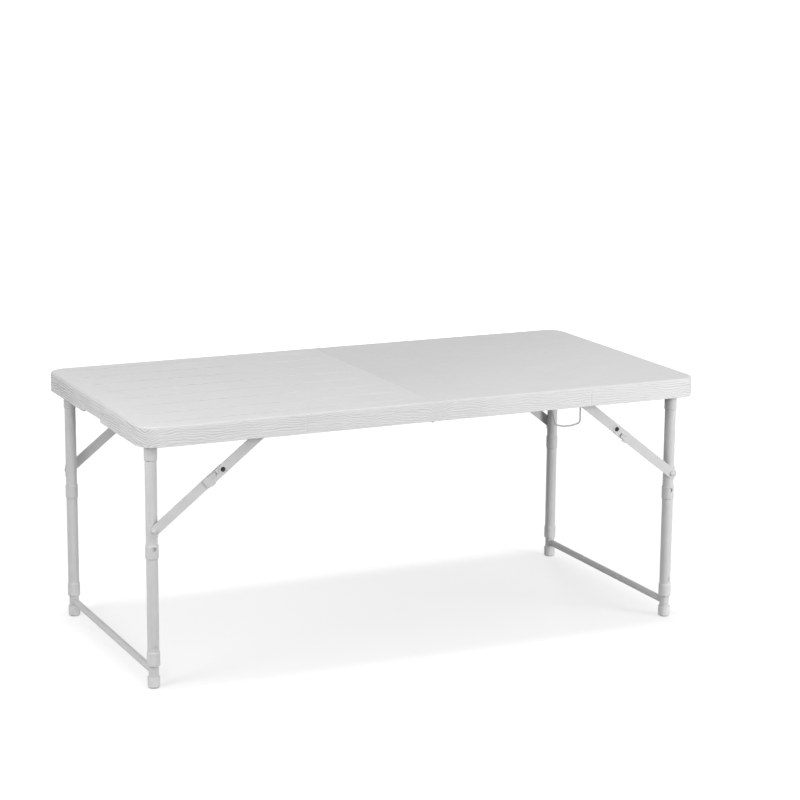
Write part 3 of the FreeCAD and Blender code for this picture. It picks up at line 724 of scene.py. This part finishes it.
def floor():
    """A plain pale floor that takes a faint shadow. Its glow keeps it white far away."""
    material, tree, shader = glowing("floor_finish", FLOOR_TONE)
    shader.inputs["Roughness"].default_value = FLOOR_ROUGHNESS
    place = object_place(tree)
    distance = add_node(tree, "ShaderNodeVectorMath", {0: place}, operation="LENGTH").outputs["Value"]
    glow = spread(tree, distance, FLOOR_GLOW_START, FLOOR_GLOW_END, FLOOR_GLOW_NEAR, FLOOR_GLOW_FAR)
    tree.links.new(glow, shader.inputs["Emission Strength"])
    stage_piece("floor", floor_corners(0.0), [(0, 1, 2, 3)], material)


def backdrop():
    """White walls far away, which are seen behind the floor and give no light."""
    material, _, shader = glowing("backdrop_finish", 0.0)
    shader.inputs["Emission Strength"].default_value = BACKDROP_GLOW
    walls = [(i, (i + 1) % 4, (i + 1) % 4 + 4, i + 4) for i in range(4)]
    piece = stage_piece("backdrop", floor_corners(0.0) + floor_corners(BACKDROP_HEIGHT), walls, material)
    piece.visible_glossy = False
    piece.visible_shadow = False


def place_lamp(name, light, place, aim):
    lamp = linked(name, light)
    lamp.location = place
    lamp.rotation_euler = (Vector(aim) - Vector(place)).to_track_quat("-Z", "Y").to_euler()
    return lamp


def soft_box(name, place, aim, size, power):
    """A round soft light that leaves no bright patch on a smooth surface."""
    light = bpy.data.lights.new(name, "AREA")
    light.shape = "DISK"
    light.size = size
    light.energy = power
    lamp = place_lamp(name, light, place, aim)
    lamp.visible_glossy = False


def sky():
    """An even white glow from above the horizon, and none from below."""
    world = bpy.data.worlds.new("studio")
    world.use_nodes = True
    tree = world.node_tree
    way = add_node(tree, "ShaderNodeTexCoord", {}).outputs["Generated"]
    rise = add_node(tree, "ShaderNodeSeparateXYZ", {"Vector": way}).outputs["Z"]
    glow = spread(tree, rise, -HORIZON_BLEND, HORIZON_BLEND, 0.0, SKY_GLOW)
    tree.links.new(glow, tree.nodes["Background"].inputs["Strength"])
    tree.nodes["Background"].inputs["Color"].default_value = WHITE
    bpy.context.scene.world = world


def studio():
    """A white room: soft boxes on the right, front, left and back, and a soft light from straight above."""
    bpy.context.scene.view_settings.view_transform = "Standard"
    sky()
    soft_box("right_box", place=(2.2, -2.6, 1.3), aim=(0.2, 0.0, 0.4), size=1.4, power=27.0)
    soft_box("low_right_box", place=(2.4, -2.4, 0.55), aim=(0.2, 0.0, 0.4), size=1.2, power=54.0)
    soft_box("front_box", place=(-0.6, -3.6, 1.4), aim=(0.0, 0.0, 0.4), size=1.4, power=32.0)
    soft_box("left_box", place=(-2.3, -0.9, 0.8), aim=(-0.4, 0.0, 0.4), size=1.2, power=17.5)
    soft_box("high_left_box", place=(-2.2, -0.7, 1.5), aim=(-0.4, 0.0, 0.4), size=1.0, power=15.5)
    soft_box("back_box", place=(1.9, 4.0, 0.5), aim=(0.0, 0.0, 0.4), size=0.9, power=110.0)
    sun = bpy.data.lights.new("overhead", "SUN")
    sun.energy = SUN_STRENGTH
    sun.angle = SUN_SPREAD
    place_lamp("overhead", sun, place=(0.0, 0.0, 3.0), aim=(0.0, 0.0, 0.0))


def camera():
    """The photograph's camera. Its axes come from its turn, tilt and roll."""
    azimuth = math.radians(CAMERA_AZIMUTH)
    elevation = math.radians(CAMERA_ELEVATION)
    roll = math.radians(CAMERA_ROLL)
    back = Vector((math.sin(azimuth) * math.cos(elevation), -math.cos(azimuth) * math.cos(elevation),
                   math.sin(elevation)))
    right = Vector((math.cos(azimuth), math.sin(azimuth), 0))
    up = back.cross(right)
    turned_right = right * math.cos(roll) + up * math.sin(roll)
    turned_up = up * math.cos(roll) - right * math.sin(roll)
    data = bpy.data.cameras.new("camera")
    data.sensor_width = SENSOR_WIDTH
    data.lens = LENS
    data.clip_end = VIEW_END
    eye = linked("camera", data)
    axes = Matrix((turned_right, turned_up, back)).transposed().to_4x4()
    eye.matrix_world = Matrix.Translation(CAMERA_PLACE) @ axes
    bpy.context.scene.camera = eye


dress_nodes()
left_top = half_shell("left")
# Painted shade on the left top: darker at the back, lighter at the front
left_finish = moulded_plastic("left_top_finish", dark=0.59, light=0.625,
                              way=(0.0, -1.0, 0.0), start=-0.3, end=0.3)
left_top.data.materials.append(left_finish)
right_top = half_shell("right")
# Painted shade on the right top: darker at the back by the seam, lighter towards the front of the far end
right_finish = moulded_plastic("right_top_finish", dark=0.565, light=0.635,
                               way=(0.8, -1.2, 0.0), start=-0.1, end=0.6)
right_top.data.materials.append(right_finish)
floor()
backdrop()
studio()
camera()
